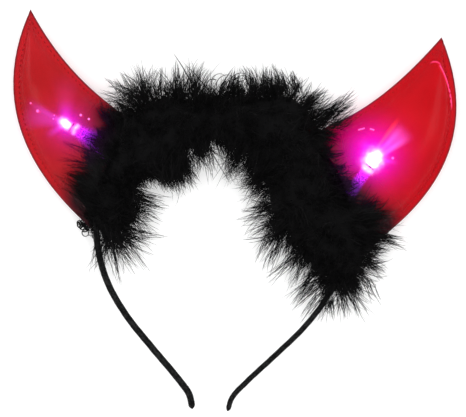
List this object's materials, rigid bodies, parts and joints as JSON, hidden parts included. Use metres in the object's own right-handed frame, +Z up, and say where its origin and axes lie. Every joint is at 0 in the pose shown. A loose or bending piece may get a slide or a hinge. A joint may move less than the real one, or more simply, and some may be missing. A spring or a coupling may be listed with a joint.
{
  "type": "light-up horn headband",
  "caption": "Cloth-wrapped headband with hollow clear red film horns, a lit lamp on a sleeved lead inside each horn, and a thick black marabou trim round the crown.",
  "frame": {"origin": "centre of the bounding box at its bottom, on the floor that the headband lies on", "axes": "+Z up from the floor, towards the front of the headband; +Y in the hoop's plane, from its open end to the horn tips; +X to the right seen from the front"},
  "size_m": [0.2221, 0.1936, 0.0405],
  "materials": {
    "band_ribbon": "black woven ribbon, slightly satin",
    "horn_film": "clear red film, glossy, lit magenta round the lamps",
    "lamp_lens": "lit, white with a magenta rim",
    "lamp_sleeve": "clear ribbed sleeve, lit violet by the lamp",
    "marabou": "matt black down"
  },
  "bodies": {
    "root": {"band": "band_ribbon", "left_horn": "horn_film", "right_horn": "horn_film", "left_lamp": "lamp_lens", "right_lamp": "lamp_lens", "left_lamp_sleeve": "lamp_sleeve", "right_lamp_sleeve": "lamp_sleeve", "marabou_trim": "marabou"}
  },
  "joints": []
}
